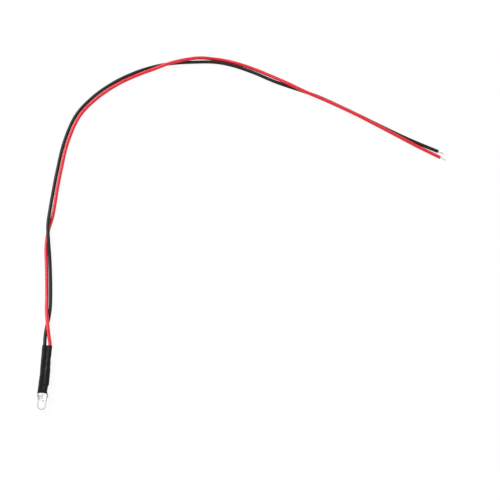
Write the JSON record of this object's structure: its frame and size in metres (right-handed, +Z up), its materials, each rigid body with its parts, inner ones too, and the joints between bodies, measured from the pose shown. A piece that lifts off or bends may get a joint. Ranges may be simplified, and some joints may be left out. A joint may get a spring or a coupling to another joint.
{
  "type": "through hole led",
  "caption": "Round clear through-hole LED with a series resistor in a black shrink sleeve and a red and a black lead wire with bare tinned ends.",
  "frame": {"origin": "on the table under the middle of the rigid part, which is the lens, its leads and the sleeve", "axes": "+Y along the lens's axis from the dome towards the wires, +Z up from the table, +X to the anode's side"},
  "size_m": [0.1393, 0.1336, 0.0038],
  "materials": {
    "clear_resin": "moulded, glossy and water clear",
    "tinned_steel": "stamped and tin plated",
    "chip": "sawn semiconductor",
    "gold": "drawn gold wire",
    "ceramic": "fired ceramic rod",
    "cap_metal": "pressed and plated",
    "lacquer": "dipped lacquer",
    "tinned_copper": "twisted strands, tinned",
    "solder": "bright solder",
    "thin_sleeve": "shrunk, satin",
    "shrink_sleeve": "shrunk, satin black",
    "red_insulation": "extruded, semi-gloss red",
    "black_insulation": "extruded, semi-gloss black"
  },
  "bodies": {
    "root": {"lens": "clear_resin", "cathode_lead": "tinned_steel", "anode_lead": "tinned_steel", "led_chip": "chip", "bond_wire": "gold", "resistor_rod": "ceramic", "resistor_caps": "cap_metal", "resistor_lead_front": "tinned_copper", "resistor_lead_rear": "tinned_copper", "resistor_coating": "lacquer", "solder_anode": "solder", "solder_red": "solder", "solder_black": "solder", "inner_sleeve": "thin_sleeve", "outer_sleeve": "shrink_sleeve", "red_stripped_end": "tinned_copper", "black_stripped_end": "tinned_copper", "red_wire": "red_insulation", "black_wire": "black_insulation", "red_tinned_end": "tinned_copper", "black_tinned_end": "tinned_copper"}
  },
  "joints": []
}
